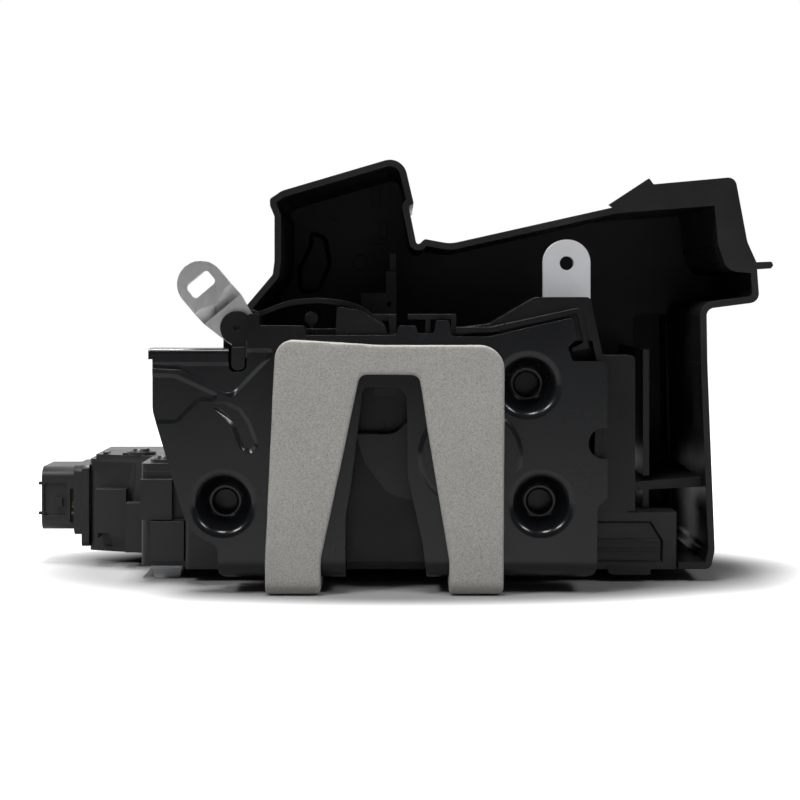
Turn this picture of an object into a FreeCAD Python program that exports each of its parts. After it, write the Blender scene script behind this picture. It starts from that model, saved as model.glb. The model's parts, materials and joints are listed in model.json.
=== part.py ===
import FreeCAD, Part
import math
import os

# A vehicle door latch with its lock actuator, seen from the face that bolts to the door edge.
# X runs along the face plate, Y runs back into the door and Z is up as the latch stands on a bench.
# The origin is the striker's seat at the top of the throat, on the front of the face plate.
# All lengths are in millimetres and all angles in degrees.

# Face plate
PLATE_T = 2.0
PLATE_BOTTOM = -36.7
PLATE_BEND_R = 4.0
PLATE_FLANGE_Y = 14.0
TOP_FLANGE_Z = 14.0
TOP_FLANGE_Y = 9.0
TOP_FLANGE_R = 2.4
TOP_FLANGE_X0 = -52.0
TOP_FLANGE_X1 = -34.4
THROAT_TOP = 5.5
THROAT_HALF = 4.95
THROAT_FLARE = 8.8
THROAT_CORNER = 3.1
EMBOSS_DEPTH = 0.6
EMBOSS_SLOPE = 0.9

# Mounting holes in the face plate
HOLE_LEFT = (-35.5, -20.2)
HOLE_UPPER = (31.6, 5.9)
HOLE_LOWER = (34.5, -20.2)
HOLE_THREAD_R = 2.55
DIMPLE_MOUTH_R = 6.3
DIMPLE_FLOOR_R = 3.6
DIMPLE_DEPTH = 6.0
DIMPLE_RIM_R = 9.0
COLLAR_R = 4.9
COLLAR_END = 10.2

# Foam seal
FOAM_T = 3.2
FOAM_BOTTOM = -40.2
FOAM_BACK = 13.0

# Latch case and back plate
PLATE_CLEAR = 0.3
CASE_FRONT = PLATE_T + EMBOSS_DEPTH + 0.2
CASE_FLOOR_Y = 10.6
CASE_FLOOR_T = 2.0
CASE_WALL = 1.6
BACK_T = 1.8

# Claw and pawl
CLAW_X = 18.9
CLAW_Z = -9.7
CLAW_HUB_R = 9.5
CLAW_Y0 = 4.6
CLAW_Y1 = 9.0
MOULD_SKIN = 0.5
CLAW_PIN_R = 4.0
MOUTH_R = 4.3
MOUTH_X = 0.6
MOUTH_Z = -0.9
PAWL_X = -17.5
PAWL_Z = -6.0
PAWL_HUB_R = 5.6
PAWL_PIN_R = 3.0
PIN_FIT = 0.06
PIN_HEAD_T = 1.0

# Levers
LEVER_T = 1.8
LEVER_WIDTH = 10.5
OUTER_X = -32.7
OUTER_Z = 18.5
OUTER_Y = 4.9
OUTER_END_X = -40.7
OUTER_END_Z = 28.1
OUTER_JOGGLE = 2.3
JOGGLE_START = 5.3
JOGGLE_END = 8.3
OUTER_PIN_R = 2.2
OUTER_SLOT_LONG = 6.2
OUTER_SLOT_WIDE = 3.5
OUTER_SLOT_CORNER = 0.9
CAP_R = 3.7
CAP_FRONT = 2.3
STEM_FRONT = 0.6
STEM_TOP = 14.2
LOCK_X = 41.4
LOCK_PIVOT_Z = 6.0
LOCK_HOLE_Z = 33.0
LOCK_HOLE_R = 1.6
LOCK_HALF = 5.4
LOCK_Y = 15.2
LOCK_T = 2.5
LOCK_PIN_R = 2.5
DRIVE_Z = -8.5
DRIVE_PIN_R = 1.5
DRIVE_PIN_END = 25.0

# Actuator housing
HOUSE_BOTTOM = -37.3
HOUSE_TOP = -15.3
HOUSE_WALL = 1.6
HOUSE_FRONT = 19.5
HOUSE_BACK = 79.0
HOUSE_RIGHT = 56.0
HOUSE_LOW_RIGHT = 67.2
HOUSE_LOW_TOP = -24.2
HOUSE_LEFT = -73.5
STEP_X = -57.0
STEP_Y = 47.5
LEFT_FRONT = 54.5
COVER_T = 1.8
FOOT_R = 3.0

# Lock drive
WHEEL_X = -15.0
WHEEL_Y = 45.0
WHEEL_R = 13.4
WHEEL_Z0 = -27.0
WHEEL_Z1 = -21.0
WHEEL_TEETH = 34
WHEEL_TOOTH = 1.3
WHEEL_PIN_R = 2.5
PEG_RADIUS = 4.5
PEG_R = 1.6
WORM_R = 3.5
WORM_GAP = 0.25
WORM_LENGTH = 14.0
MOTOR_R = 9.6
MOTOR_FLAT = 7.8
MOTOR_LENGTH = 25.0
SLIDER_Z0 = -18.2
SLIDER_T = 2.6
SLIDER_SLOT_GAP = 0.4

# Connector
PLUG_Y = 65.0
PLUG_HALF_Y = 10.0
PLUG_TOP = -16.8
PLUG_BOTTOM = -32.4
PLUG_LENGTH = 12.0
PLUG_END = HOUSE_LEFT - PLUG_LENGTH
PLUG_WALL = 1.5
PLUG_DEPTH = 12.0
PLUG_COLLAR = 8.1

# Shroud
SHROUD_FRONT = 20.0
SHROUD_BACK = 78.6
SHROUD_WALL = 1.5
RECESS_BACK = 91.0
SHROUD_FOOT = HOUSE_TOP + COVER_T
LIP_T = 1.6

V = FreeCAD.Vector
DIRECTIONS = {"front": V(0, 1, 0), "top": V(0, 0, 1), "side": V(1, 0, 0)}


def place(a, b, level, view):
    """A point of a flat view: front is X and Z, top is X and Y, side is Y and Z."""
    if view == "front":
        return V(a, level, b)
    if view == "top":
        return V(a, b, level)
    return V(level, a, b)


def outline(points, level, view):
    """A closed wire through corners (a, b) or (a, b, radius), with each radius as a tangent arc."""
    count = len(points)
    ends = []
    for i in range(count):
        here = V(points[i][0], points[i][1], 0)
        before = V(points[i - 1][0], points[i - 1][1], 0) - here
        after = V(points[(i + 1) % count][0], points[(i + 1) % count][1], 0) - here
        radius = points[i][2] if len(points[i]) > 2 else 0.0
        half = before.getAngle(after) / 2
        if radius <= 0 or half > math.radians(89.5):
            ends.append((here, None, here))
            continue
        reach = min(radius / math.tan(half), before.Length * 0.49, after.Length * 0.49)
        radius = reach * math.tan(half)
        before.normalize()
        after.normalize()
        toward = (before + after).normalize()
        centre = here + toward * (radius / math.sin(half))
        ends.append((here + before * reach, centre - toward * radius, here + after * reach))
    edges = []
    for i in range(count):
        start, middle, end = [p and place(p.x, p.y, level, view) for p in ends[i]]
        following = ends[(i + 1) % count][0]
        following = place(following.x, following.y, level, view)
        if middle:
            edges.append(Part.Arc(start, middle, end).toShape())
        if (end - following).Length > 1e-6:
            edges.append(Part.LineSegment(end, following).toShape())
    return Part.Wire(edges)


def slab(points, start, end, view="front"):
    """A flat outline carried from one level to another."""
    return Part.Face(outline(points, start, view)).extrude(DIRECTIONS[view] * (end - start))


def box(x0, x1, y0, y1, z0, z1):
    return Part.makeBox(x1 - x0, y1 - y0, z1 - z0, V(x0, y0, z0))


def rod(a, b, radius, start, end, view="front"):
    return Part.makeCylinder(radius, end - start, place(a, b, start, view), DIRECTIONS[view])


def cone(a, b, r0, r1, start, end, view="front"):
    return Part.makeCone(r0, r1, end - start, place(a, b, start, view), DIRECTIONS[view])


def join(first, *others):
    return first.fuse(list(others)).removeSplitter()


def pad(points, base, top, inset, view="front"):
    """A raised panel whose sides lean in by the inset."""
    low = Part.Face(outline(points, base, view))
    high = Part.Face(outline(points, top, view)).makeOffset2D(-inset)
    return Part.makeLoft([low.OuterWire, high.OuterWire], True, True)


def strip(points, width, start, end, view="front"):
    """A bar of even width along a run of points."""
    left = []
    right = []
    for i in range(len(points)):
        back = V(*points[max(i - 1, 0)][:2], 0)
        ahead = V(*points[min(i + 1, len(points) - 1)][:2], 0)
        along = (ahead - back).normalize()
        side = V(-along.y, along.x, 0) * (width / 2)
        here = V(*points[i][:2], 0)
        left.append((here.x + side.x, here.y + side.y))
        right.append((here.x - side.x, here.y - side.y))
    return slab(left + right[::-1], start, end, view)


def turned(profile, a, b, view="front"):
    """A solid of revolution about the view's direction, from corners (radius, level, rounding)."""
    face = Part.Face(outline(profile, 0, "top"))
    solid = face.revolve(V(0, 0, 0), V(0, 1, 0), 360)
    if view == "front":
        solid.translate(V(a, 0, b))
        return solid
    if view == "top":
        solid.rotate(V(0, 0, 0), V(1, 0, 0), 90)
        solid.translate(V(a, b, 0))
        return solid
    solid.rotate(V(0, 0, 0), V(0, 0, 1), -90)
    solid.translate(V(0, a, b))
    return solid


def coil(a, b, radius, wire, turns, start, view="front"):
    """A close-wound spring body: wire turns side by side, joined where they touch."""
    rings = []
    for i in range(turns):
        level = start + wire * (0.5 + 0.94 * i)
        rings.append(Part.makeTorus(radius, wire / 2, place(a, b, level, view), DIRECTIONS[view]))
    return join(*rings)


def save(name, shape):
    shape.exportStep("parts/" + name + ".step")
    solids = len(shape.Solids)
    print(name, "solids", solids, "valid", shape.isValid(), "volume", round(shape.Volume, 1))


# Face plate

PLATE_OUTLINE = [
    (-51.1, TOP_FLANGE_Z - TOP_FLANGE_R),
    (-51.1, 0.2, 8.0),
    (-43.6, -24.8, 8.0),
    (-36.8, -29.8, 2.0),
    (-36.6, PLATE_BOTTOM, 2.0),
    (46.7, PLATE_BOTTOM, 2.5),
    (46.9, -21.0, 1.5),
    (49.1, -18.9, 1.5),
    (49.1, 11.1, 1.3),
    (41.4, 11.2, 0.8),
    (40.4, 14.3, 0.8),
    (42.4, 16.2, 0.8),
    (41.6, 20.8, 0.6),
    (32.4, 18.8, 10.0),
    (23.3, 16.6, 10.0),
    (14.8, 16.6, 0.8),
    (14.2, 20.2, 0.6),
    (11.3, 20.2, 0.6),
    (10.9, 17.3, 0.6),
    (7.4, 17.3, 0.6),
    (6.9, 19.0, 0.6),
    (3.0, 19.0, 0.6),
    (2.6, 16.9, 0.4),
    (0.3, 16.9, 0.4),
    (-17.3, 16.9, 0.5),
    (-17.6, 19.0, 0.5),
    (-27.5, 19.1, 0.3),
    (-27.6, 21.6, 0.8),
    (-30.2, 21.6, 0.8),
    (-30.4, 8.8, 1.6),
    (-34.2, 8.8, 1.2),
    (TOP_FLANGE_X1, TOP_FLANGE_Z - TOP_FLANGE_R),
]

THROAT_OUTLINE = [
    (-THROAT_HALF, THROAT_TOP, THROAT_CORNER),
    (-THROAT_HALF - 0.2, 2.0),
    (-THROAT_HALF - 2.4, -16.0, 12.0),
    (-THROAT_FLARE + 0.2, -23.0, 12.0),
    (-THROAT_FLARE + 0.2, PLATE_BOTTOM - 2.0),
    (THROAT_FLARE + 0.8, PLATE_BOTTOM - 2.0),
    (THROAT_FLARE - 0.4, -29.0),
    (THROAT_HALF + 0.1, -14.0, 14.0),
    (THROAT_HALF, THROAT_TOP, THROAT_CORNER),
]

UPPER_RECESS = [
    (TOP_FLANGE_X0 - 1.0, 11.0),
    (TOP_FLANGE_X0 - 1.0, 9.6),
    (-46.0, 9.2, 4.0),
    (-33.6, 2.9, 1.5),
    (-24.6, 12.2, 2.0),
    (-24.6, 14.0, 1.0),
    (-30.2, 14.0),
    (-34.4, 11.0),
]

CRESCENT_GROOVE = [
    (-38.8, 1.9, 1.0),
    (-34.0, -2.6, 6.0),
    (-31.8, -8.2, 1.2),
    (-29.6, -9.4, 1.0),
    (-27.6, -7.4, 1.0),
    (-29.4, -2.4, 6.0),
    (-31.6, 0.9, 1.6),
    (-35.0, 2.4, 3.0),
]

MIDDLE_RECESS = [
    (TOP_FLANGE_X0 - 1.0, 8.6),
    (TOP_FLANGE_X0 - 1.0, -2.6),
    (-45.7, -2.6, 2.0),
    (-40.6, 2.4, 2.0),
    (-37.6, 2.2, 1.0),
    (-36.4, 4.0, 1.0),
    (-46.0, 8.4, 4.0),
]


def dimple(x, z):
    """A deep-drawn seat for a door screw, with its tapped collar."""
    back_mouth = DIMPLE_MOUTH_R + PLATE_T * 0.95
    profile = [
        (DIMPLE_RIM_R, 0.0),
        (DIMPLE_MOUTH_R, 0.0, 2.4),
        (DIMPLE_FLOOR_R, DIMPLE_DEPTH, 0.7),
        (HOLE_THREAD_R + 0.5, DIMPLE_DEPTH),
        (HOLE_THREAD_R, DIMPLE_DEPTH + 0.5),
        (HOLE_THREAD_R, COLLAR_END),
        (COLLAR_R, COLLAR_END),
        (COLLAR_R, DIMPLE_DEPTH + PLATE_T, 0.6),
        (COLLAR_R + 0.9, DIMPLE_DEPTH + PLATE_T, 0.8),
        (back_mouth, PLATE_T, 1.6),
        (DIMPLE_RIM_R, PLATE_T),
    ]
    return turned(profile, x, z)


def face_plate():
    bend = [
        (0.0, 30.0),
        (0.0, PLATE_BOTTOM, PLATE_BEND_R),
        (PLATE_FLANGE_Y, PLATE_BOTTOM),
        (PLATE_FLANGE_Y, PLATE_BOTTOM + PLATE_T),
        (PLATE_T, PLATE_BOTTOM + PLATE_T, PLATE_BEND_R - PLATE_T),
        (PLATE_T, 30.0),
    ]
    sheet = slab(bend, -60.0, 60.0, "side")
    sheet = sheet.common(slab(PLATE_OUTLINE, -1.0, PLATE_FLANGE_Y + 1.0))
    flange = [
        (0.0, TOP_FLANGE_Z - TOP_FLANGE_R),
        (0.0, TOP_FLANGE_Z, TOP_FLANGE_R),
        (TOP_FLANGE_Y, TOP_FLANGE_Z),
        (TOP_FLANGE_Y, TOP_FLANGE_Z - PLATE_T),
        (PLATE_T, TOP_FLANGE_Z - PLATE_T, TOP_FLANGE_R - PLATE_T),
        (PLATE_T, TOP_FLANGE_Z - TOP_FLANGE_R),
    ]
    sheet = join(sheet, slab(flange, TOP_FLANGE_X0, TOP_FLANGE_X1, "side"))
    hubs = [HOLE_LEFT, HOLE_UPPER, HOLE_LOWER]
    recesses = [(UPPER_RECESS, EMBOSS_DEPTH), (CRESCENT_GROOVE, EMBOSS_DEPTH), (MIDDLE_RECESS, EMBOSS_DEPTH / 2)]
    for area, depth in recesses:
        front = pad(area, -0.01, depth, EMBOSS_SLOPE)
        back = pad(area, PLATE_T - 0.01, PLATE_T + depth, EMBOSS_SLOPE)
        back = back.common(slab(PLATE_OUTLINE, 0.0, 2 * PLATE_T))
        sheet = sheet.cut(front).fuse(back)
    boss_r = CLAW_HUB_R + 1.3
    sheet = sheet.cut(rod(CLAW_X, CLAW_Z, boss_r + 0.9, -1.0, PLATE_T + 1.0))
    boss = [
        (boss_r + 1.0, 0.0),
        (boss_r + 1.0, PLATE_T),
        (boss_r, PLATE_T),
        (boss_r - 0.8, PLATE_T - EMBOSS_DEPTH),
        (0.0, PLATE_T - EMBOSS_DEPTH),
        (0.0, -EMBOSS_DEPTH),
        (boss_r, -EMBOSS_DEPTH, 0.8),
        (boss_r + 0.8, 0.0),
    ]
    sheet = sheet.fuse(turned(boss, CLAW_X, CLAW_Z))
    for x, z in hubs:
        sheet = sheet.cut(rod(x, z, DIMPLE_RIM_R - 0.1, -1.0, PLATE_T + 2.0))
        sheet = sheet.fuse(dimple(x, z))
    sheet = sheet.cut(slab(THROAT_OUTLINE, -5.0, PLATE_FLANGE_Y + 1.0))
    sheet = sheet.cut(rod(48.3, -6.9, 3.4, -1.0, PLATE_T + 1.0))
    return sheet.removeSplitter()


# Foam seal

def foam_seal(plate):
    front = [
        (-26.2, FOAM_BOTTOM, 1.2),
        (-26.2, -33.0, 20.0),
        (-24.3, 8.0, 20.0),
        (-23.8, 16.2, 5.7),
        (-1.0, 14.8, 20.0),
        (26.4, 14.8, 5.4),
        (26.1, FOAM_BOTTOM, 1.6),
        (14.1, FOAM_BOTTOM, 1.0),
        (14.2, -32.7, 12.0),
        (9.4, -4.0, 30.0),
        (7.6, 8.2, 1.8),
        (-5.4, 8.3, 1.8),
        (-9.7, -12.5, 30.0),
        (-14.0, -32.6, 12.0),
        (-14.0, FOAM_BOTTOM, 1.0),
    ]
    wrap = [
        (-FOAM_T, 20.0),
        (-FOAM_T, FOAM_BOTTOM, FOAM_T),
        (FOAM_BACK, FOAM_BOTTOM),
        (FOAM_BACK, PLATE_BOTTOM),
        (0.0, PLATE_BOTTOM, PLATE_BEND_R),
        (0.0, 20.0),
    ]
    return slab(front, -FOAM_T - 1, FOAM_BACK + 1).common(slab(wrap, -60.0, 60.0, "side")).cut(plate)


# Latch case and back plate

CASE_OUTLINE = [
    (-49.6, 11.6),
    (-49.6, 0.4, 7.0),
    (-42.4, -24.0, 7.0),
    (-35.4, -29.2, 2.0),
    (-35.2, PLATE_BOTTOM + PLATE_T + 0.3, 2.0),
    (45.2, PLATE_BOTTOM + PLATE_T + 0.3, 2.0),
    (45.4, -20.6, 1.0),
    (47.8, -18.4, 1.0),
    (48.6, 11.0),
    (45.6, 25.3, 1.2),
    (33.6, 25.3, 3.0),
    (23.4, 19.4, 2.0),
    (15.9, 18.4),
    (15.9, 15.6),
    (1.0, 15.6),
    (0.2, 18.6, 1.0),
    (-5.0, 22.2, 6.0),
    (-10.6, 23.2, 0.6),
    (-10.9, 16.6),
    (-17.0, 16.6),
    (-17.4, 18.3),
    (-27.8, 18.3),
    (-27.8, 22.4, 3.6),
    (-36.3, 22.4, 3.6),
    (-36.3, 13.4),
    (-36.3, 11.6),
]


def latch_case():
    front = CASE_FRONT
    back = CASE_FLOOR_Y + CASE_FLOOR_T
    body = slab(CASE_OUTLINE, front, back)
    hollow = Part.Face(outline(CASE_OUTLINE, front - 1.0, "front")).makeOffset2D(-CASE_WALL)
    body = body.cut(hollow.extrude(V(0, CASE_FLOOR_Y - front + 1.0, 0)))
    hump = [(-1.2, 17.8), (-5.4, 20.8, 6.0), (-9.4, 21.6), (-9.4, 16.0), (-1.2, 16.0)]
    body = body.fuse(slab(hump, front, CASE_FLOOR_Y))
    panel = [(46.4, 15.6), (44.6, 24.0), (34.0, 24.0), (25.0, 19.0), (25.0, 15.6)]
    body = body.fuse(slab(panel, front, CASE_FLOOR_Y))
    # Room for the outside lever, which swings just behind the plate
    body = body.cut(box(-40.0, -17.0, front - 1.0, OUTER_Y + LEVER_T + 0.3, 4.0, 30.0))
    body = body.fuse(rod(OUTER_X, OUTER_Z, 3.6, OUTER_Y + LEVER_T + 0.2, back))
    # Trim rail that frames the plate's upper right corner
    rail = [(15.7, 18.0), (23.6, 18.1), (40.6, 21.8)]
    body = body.fuse(strip(rail, 1.2, 1.0, CASE_FLOOR_Y))
    rail_end = [(42.4, 22.1, 0.6), (44.0, 15.2, 0.8), (41.4, 14.0), (41.4, 13.2), (45.2, 14.0), (43.6, 23.0, 1.0),
                (40.6, 22.4), (40.6, 21.4)]
    body = body.fuse(slab(rail_end, PLATE_T + 0.2, CASE_FLOOR_Y))
    # Clearance for the plate's bottom bend, its top flange and its dimples
    bevel = [(front - 1.0, PLATE_BOTTOM), (front - 1.0, PLATE_BOTTOM + 4.6),
             (5.0, PLATE_BOTTOM + PLATE_T), (5.0, PLATE_BOTTOM)]
    body = body.cut(slab(bevel, -60.0, 60.0, "side"))
    body = body.cut(box(TOP_FLANGE_X0 - 1.0, TOP_FLANGE_X1 + PLATE_CLEAR, front - 1.0, TOP_FLANGE_Y + PLATE_CLEAR,
                        TOP_FLANGE_Z - PLATE_T - PLATE_CLEAR, TOP_FLANGE_Z + 3.0))
    for x, z in (HOLE_LEFT, HOLE_UPPER, HOLE_LOWER):
        body = body.cut(cone(x, z, DIMPLE_MOUTH_R + PLATE_T + 0.7, COLLAR_R + 1.3, PLATE_T,
                             DIMPLE_DEPTH + PLATE_T + PLATE_CLEAR))
    # Hook bar above the notch in the plate's top edge
    bar = [(5.2, 20.3), (9.0, 20.3), (9.0, 15.8), (10.2, 15.8), (10.2, 20.3), (14.7, 20.3), (14.7, 15.8),
           (15.9, 15.8), (15.9, 21.5), (5.2, 21.5)]
    body = body.fuse(slab(bar, PLATE_T + 1.8, back))
    # Right-hand wing beside the plate
    wing = [(47.0, -22.3), (47.0, 12.3), (55.7, 12.3, 1.0), (55.7, -22.3)]
    wing_shell = slab(wing, 4.6, 14.0).cut(box(47.0, 54.2, 6.1, 14.1, -20.9, 10.9))
    body = body.fuse(wing_shell)
    body = body.cut(box(-8.6, 9.6, 0.0, CASE_FLOOR_Y, PLATE_BOTTOM - 2.0, -31.0))
    # Shelf and arched rib behind the back plate's top edge
    arch_outer = [(-29.0, 16.8), (-29.0, 21.8), (-22.0, 24.6, 20.0), (-15.0, 25.2, 20.0), (-6.0, 24.2, 20.0),
                  (0.0, 19.0), (0.0, 16.8)]
    arch_inner = [(-27.8, 18.2), (-27.8, 21.0), (-22.0, 23.4, 20.0), (-15.0, 24.0, 20.0), (-6.8, 23.0, 20.0),
                  (-1.4, 18.6), (-1.4, 18.2)]
    arch = slab(arch_outer, CASE_FLOOR_Y, 19.0).cut(slab(arch_inner, CASE_FLOOR_Y - 1, 20.0))
    shelf = box(-29.0, 30.0, CASE_FLOOR_Y, 19.0, 15.6, 17.0)
    body = body.fuse(arch).fuse(shelf)
    # Small hollow post on the shelf
    post = rod(-16.6, 20.5, 1.5, CASE_FLOOR_Y, 14.0).cut(rod(-16.6, 20.5, 0.8, 12.0, 15.0))
    body = body.fuse(box(-17.1, -16.1, CASE_FLOOR_Y + 0.5, 14.0, 16.8, 19.2)).fuse(post)
    for x, z, radius in ((CLAW_X, CLAW_Z, CLAW_PIN_R), (PAWL_X, PAWL_Z, PAWL_PIN_R)):
        body = body.fuse(rod(x, z, radius + 2.2, CLAW_Y1 + MOULD_SKIN + 0.3, CASE_FLOOR_Y))
        body = body.cut(rod(x, z, radius + 0.05, 0.0, back + 1.0))
    body = body.cut(rod(OUTER_X, OUTER_Z, OUTER_PIN_R, 0.0, back + 1.0))
    return body.removeSplitter()


def back_plate():
    start = CASE_FLOOR_Y + CASE_FLOOR_T
    shape = [
        (-41.0, 10.0, 3.0),
        (-41.0, -18.0, 3.0),
        (-34.0, -33.6, 3.0),
        (-14.0, -33.6, 2.0),
        (-9.0, -14.0, 3.0),
        (9.0, -14.0, 3.0),
        (14.0, -33.6, 2.0),
        (44.0, -33.6, 3.0),
        (46.6, -16.0, 3.0),
        (46.6, 11.0, 3.0),
        (36.0, 15.4, 3.0),
        (-30.0, 15.4, 3.0),
    ]
    plate = slab(shape, start, start + BACK_T)
    for x, z, radius in ((CLAW_X, CLAW_Z, CLAW_PIN_R - 1), (PAWL_X, PAWL_Z, PAWL_PIN_R - 1),
                         (LOCK_X, LOCK_PIVOT_Z, LOCK_PIN_R - 1)):
        plate = plate.cut(rod(x, z, radius, start - 1, start + BACK_T + 1))
    # Stiffening bead between the two pivots
    bead = [(-10.0, 6.0, 2.0), (-10.0, 10.0, 2.0), (10.0, 10.0, 2.0), (10.0, 6.0, 2.0)]
    plate = plate.fuse(pad(bead, start + BACK_T - 0.01, start + BACK_T + 0.8, 0.9))
    return plate.removeSplitter()


# Claw, pawl and their pins

def claw_profile():
    """The claw shut round the striker, as one face outline of joined areas."""
    upper = [(24.0, -3.0), (15.0, 3.2, 4.0), (6.0, 11.2, 4.0), (-2.2, 10.4, 1.0), (-2.4, 3.4, 0.6), (4.0, 3.0),
             (12.0, -12.0)]
    lower = [(26.0, -15.0), (19.0, -19.2, 4.0), (8.0, -20.3, 6.0), (0.6, -18.4, 4.0), (-4.6, -11.4, 5.0),
             (-6.4, -5.4, 0.8), (-6.2, -3.9, 0.6), (12.0, -2.0)]
    blank = join(slab(upper, 0.0, 10.0), slab(lower, 0.0, 10.0), rod(CLAW_X, CLAW_Z, CLAW_HUB_R, 0.0, 10.0))
    mouth = join(rod(MOUTH_X, MOUTH_Z, MOUTH_R, -1.0, 11.0),
                 box(-12.0, MOUTH_X, -1.0, 11.0, MOUTH_Z - MOUTH_R, MOUTH_Z + MOUTH_R))
    return blank.cut(mouth)


def claw():
    """The hardened claw and the plastic that is moulded round its fingers."""
    bore = rod(CLAW_X, CLAW_Z, CLAW_PIN_R + PIN_FIT, 0.0, 20.0)
    blank = claw_profile()
    layer = box(-60.0, 60.0, CLAW_Y0, CLAW_Y1, -60.0, 60.0)
    core = blank.common(layer).cut(bore)
    ring = rod(CLAW_X, CLAW_Z, CLAW_HUB_R - 1.5, 0.0, 20.0)
    tooth = box(-4.0, 3.0, 0.0, 20.0, 6.0, 12.0)
    skins = blank.common(box(-60.0, 60.0, CLAW_Y0 - MOULD_SKIN, CLAW_Y0, -60.0, 60.0))
    skins = skins.fuse(blank.common(box(-60.0, 60.0, CLAW_Y1, CLAW_Y1 + MOULD_SKIN, -60.0, 60.0)))
    skins = skins.cut(ring).cut(tooth)
    # The two skins meet through windows in the steel
    windows = [(3.0, -13.0, 2.0), (9.5, -15.5, 1.6), (8.0, 6.0, 1.5)]
    for x, z, radius in windows:
        core = core.cut(rod(x, z, radius, 0.0, 20.0))
        skins = skins.fuse(rod(x, z, radius, CLAW_Y0 - MOULD_SKIN, CLAW_Y1 + MOULD_SKIN))
    return core, skins.removeSplitter()


def pivot_pin(x, z, radius, end):
    """A shouldered pin: its body seats on the case floor's far side and its end is riveted over."""
    start = PLATE_T - (EMBOSS_DEPTH if x == CLAW_X else 0.0)
    rear = CASE_FLOOR_Y + CASE_FLOOR_T
    pin = rod(x, z, radius, start, rear)
    pin = pin.fuse(rod(x, z, radius - 1.0, rear, end))
    pin = pin.fuse(cone(x, z, radius, radius - 0.6, rear + BACK_T, end))
    return pin.removeSplitter()


def pawl():
    arm = [(-12.0, -9.5, 2.0), (-10.7, -3.0, 10.0), (-8.8, 3.0, 10.0), (-6.3, 8.0, 0.6), (-5.7, 9.7, 0.6),
           (-8.6, 12.6, 1.5), (-14.5, 6.5, 4.0), (-22.5, -1.5, 4.0), (-30.0, -6.6, 2.0), (-28.6, -11.0, 2.0),
           (-21.0, -11.2, 3.0)]
    body = join(slab(arm, CLAW_Y0, CLAW_Y1), rod(PAWL_X, PAWL_Z, PAWL_HUB_R, CLAW_Y0, CLAW_Y1))
    body = body.cut(rod(PAWL_X, PAWL_Z, PAWL_PIN_R + PIN_FIT, 0.0, 20.0))
    body = body.cut(rod(-26.6, -8.6, 1.1, 0.0, 20.0))
    return body.removeSplitter()


# Release levers

def lever_frame():
    """Unit vectors along the outside lever, from its pivot to its free end, and across it."""
    along = V(OUTER_END_X - OUTER_X, 0, OUTER_END_Z - OUTER_Z)
    reach = along.Length
    along.normalize()
    return along, V(along.z, 0, -along.x), reach


def outside_release_lever():
    along, across, reach = lever_frame()
    half = LEVER_WIDTH / 2
    high = OUTER_Y - OUTER_JOGGLE

    def corner(distance, offset, *radius):
        point = V(OUTER_X, 0, OUTER_Z) + along * distance + across * offset
        return (point.x, point.z) + radius

    tail = [corner(JOGGLE_START, -half), corner(JOGGLE_START, half), corner(0.0, 4.3, 4.0),
            corner(-10.5, 2.6, 2.0), corner(-10.5, -1.8, 2.0), corner(-3.2, -3.4, 1.0), corner(1.0, -4.3, 1.0)]
    lower = slab(tail, OUTER_Y, OUTER_Y + LEVER_T)
    upper = slab([corner(JOGGLE_END, -half), corner(JOGGLE_END, half), corner(reach, half), corner(reach, -half)],
                 high, high + LEVER_T)
    upper = upper.fuse(rod(OUTER_END_X, OUTER_END_Z, half, high, high + LEVER_T))
    ramp = []
    for distance, level in ((JOGGLE_START, OUTER_Y), (JOGGLE_END, high), (JOGGLE_END, high + LEVER_T),
                            (JOGGLE_START, OUTER_Y + LEVER_T)):
        ramp.append(V(OUTER_X, level, OUTER_Z) + along * distance - across * half)
    ramp = Part.Face(Part.makePolygon(ramp + ramp[:1])).extrude(across * LEVER_WIDTH)
    lever = join(lower, upper, ramp)
    wide = OUTER_SLOT_WIDE / 2
    long = OUTER_SLOT_LONG / 2
    slot = []
    for a, b in ((1, 1), (1, -1), (-1, -1), (-1, 1)):
        slot.append(corner(reach + a * wide, b * long, OUTER_SLOT_CORNER))
    lever = lever.cut(slab(slot, -5.0, 10.0))
    lever = lever.cut(rod(OUTER_X, OUTER_Z, OUTER_PIN_R + PIN_FIT, -5.0, 10.0))
    return lever.removeSplitter()


def pivot_cap():
    """The lever's plastic cap, with a stem that clips into the notch in the plate."""
    stem = [(-33.8, 9.2, 1.2), (-33.8, STEM_TOP), (-30.8, STEM_TOP), (-30.8, 9.2, 1.2)]
    cap = rod(OUTER_X, OUTER_Z, CAP_R, CAP_FRONT, OUTER_Y - 0.3)
    cap = cap.fuse(slab(stem, STEM_FRONT, OUTER_Y - 0.3))
    cap = cap.fuse(box(-33.8, -30.8, CAP_FRONT, OUTER_Y - 0.3, STEM_TOP - 0.1, OUTER_Z))
    cap = cap.cut(rod(OUTER_X, OUTER_Z, 0.7, CAP_FRONT - 1, CAP_FRONT + 0.8))
    return cap.cut(rod(OUTER_X, OUTER_Z, OUTER_PIN_R, CAP_FRONT + 1.2, 6.0)).removeSplitter()


def release_lever():
    """A thin lever on the pawl's pin that the outside lever's tail pushes."""
    arm = [(-20.4, -9.0, 2.5), (-13.6, -9.0, 2.5), (-14.4, -2.0, 4.0), (-19.4, 8.0, 2.0), (-19.0, 13.8, 1.4),
           (-24.2, 13.8, 1.0), (-23.6, 5.0, 3.0), (-21.4, -3.0, 3.0)]
    body = slab(arm, 2.8, 4.4).fuse(rod(PAWL_X, PAWL_Z, 5.4, 2.8, 4.4))
    # Bent tab that stands beside the outside lever's tail
    body = body.fuse(box(-24.1, -22.5, 2.8, OUTER_Y + LEVER_T, 8.4, 12.6))
    return body.cut(rod(PAWL_X, PAWL_Z, PAWL_PIN_R + PIN_FIT, 0.0, 10.0)).removeSplitter()


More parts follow.
